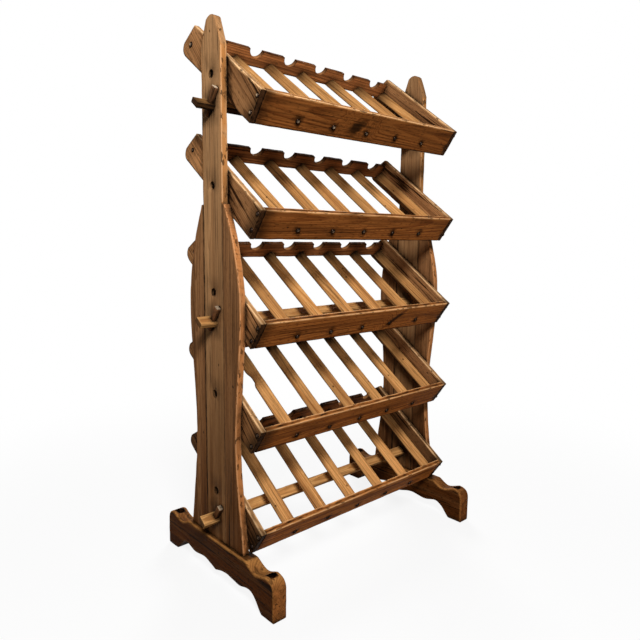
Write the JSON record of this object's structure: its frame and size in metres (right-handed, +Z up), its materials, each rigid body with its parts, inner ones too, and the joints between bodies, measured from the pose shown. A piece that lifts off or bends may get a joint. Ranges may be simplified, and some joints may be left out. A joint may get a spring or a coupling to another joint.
{
  "type": "wine rack",
  "caption": "Free-standing pine wine rack: tilted trays of ridged slats with notched neck rails, held between wedged trestle ends on scalloped sled feet.",
  "frame": {"origin": "on the floor under the middle of the rack's bounding box", "axes": "+Z up, -Y towards the front that the bottle bases face, +X to the right seen from the front"},
  "size_m": [0.7346, 0.43, 1.2099],
  "materials": {
    "foot_pine": "satin",
    "upright_pine": "satin",
    "wing_pine": "satin",
    "stretcher_pine": "satin",
    "wedge_pine": "satin",
    "side_pine": "satin",
    "front_rail_pine": "satin",
    "neck_rail_pine": "satin",
    "slat_pine": "satin"
  },
  "bodies": {
    "rack": {"left_foot": "foot_pine", "left_upright": "upright_pine", "left_front_wing": "wing_pine", "left_rear_wing": "wing_pine", "right_foot": "foot_pine", "right_upright": "upright_pine", "right_front_wing": "wing_pine", "right_rear_wing": "wing_pine", "top_stretcher": "stretcher_pine", "middle_stretcher": "stretcher_pine", "bottom_stretcher": "stretcher_pine", "top_tray_left_side": "side_pine", "top_tray_right_side": "side_pine", "top_tray_front_rail": "front_rail_pine", "top_tray_neck_rail": "neck_rail_pine", "top_tray_slat_2": "slat_pine", "top_tray_slat_3": "slat_pine", "top_tray_slat_5": "slat_pine", "top_tray_slat_6": "slat_pine", "second_tray_left_side": "side_pine", "second_tray_right_side": "side_pine", "second_tray_front_rail": "front_rail_pine", "second_tray_neck_rail": "neck_rail_pine", "second_tray_slat_2": "slat_pine", "second_tray_slat_3": "slat_pine", "second_tray_slat_5": "slat_pine", "second_tray_slat_6": "slat_pine", "third_tray_left_side": "side_pine", "third_tray_right_side": "side_pine", "third_tray_front_rail": "front_rail_pine", "third_tray_neck_rail": "neck_rail_pine", "third_tray_slat_2": "slat_pine", "third_tray_slat_3": "slat_pine", "third_tray_slat_5": "slat_pine", "third_tray_slat_6": "slat_pine", "fourth_tray_left_side": "side_pine", "fourth_tray_right_side": "side_pine", "fourth_tray_front_rail": "front_rail_pine", "fourth_tray_neck_rail": "neck_rail_pine", "fourth_tray_slat_2": "slat_pine", "fourth_tray_slat_3": "slat_pine", "fourth_tray_slat_5": "slat_pine", "fourth_tray_slat_6": "slat_pine", "bottom_tray_left_side": "side_pine", "bottom_tray_right_side": "side_pine", "bottom_tray_front_rail": "front_rail_pine", "bottom_tray_neck_rail": "neck_rail_pine", "bottom_tray_slat_2": "slat_pine", "bottom_tray_slat_3": "slat_pine", "bottom_tray_slat_5": "slat_pine", "bottom_tray_slat_6": "slat_pine"},
    "left_top_wedge": {"left_top_wedge": "wedge_pine"},
    "left_middle_wedge": {"left_middle_wedge": "wedge_pine"},
    "left_bottom_wedge": {"left_bottom_wedge": "wedge_pine"},
    "right_top_wedge": {"right_top_wedge": "wedge_pine"},
    "right_middle_wedge": {"right_middle_wedge": "wedge_pine"},
    "right_bottom_wedge": {"right_bottom_wedge": "wedge_pine"}
  },
  "joints": [
    {"name": "left_top_wedge_slide", "type": "slide", "parent": "rack", "child": "left_top_wedge", "axis": [0, -0.5821, 0.8131], "range_m": [0, 0.03]},
    {"name": "left_middle_wedge_slide", "type": "slide", "parent": "rack", "child": "left_middle_wedge", "axis": [0, -0.5821, 0.8131], "range_m": [0, 0.03]},
    {"name": "left_bottom_wedge_slide", "type": "slide", "parent": "rack", "child": "left_bottom_wedge", "axis": [0, -0.5821, 0.8131], "range_m": [0, 0.03]},
    {"name": "right_top_wedge_slide", "type": "slide", "parent": "rack", "child": "right_top_wedge", "axis": [0, -0.5821, 0.8131], "range_m": [0, 0.03]},
    {"name": "right_middle_wedge_slide", "type": "slide", "parent": "rack", "child": "right_middle_wedge", "axis": [0, -0.5821, 0.8131], "range_m": [0, 0.03]},
    {"name": "right_bottom_wedge_slide", "type": "slide", "parent": "rack", "child": "right_bottom_wedge", "axis": [0, -0.5821, 0.8131], "range_m": [0, 0.03]}
  ]
}
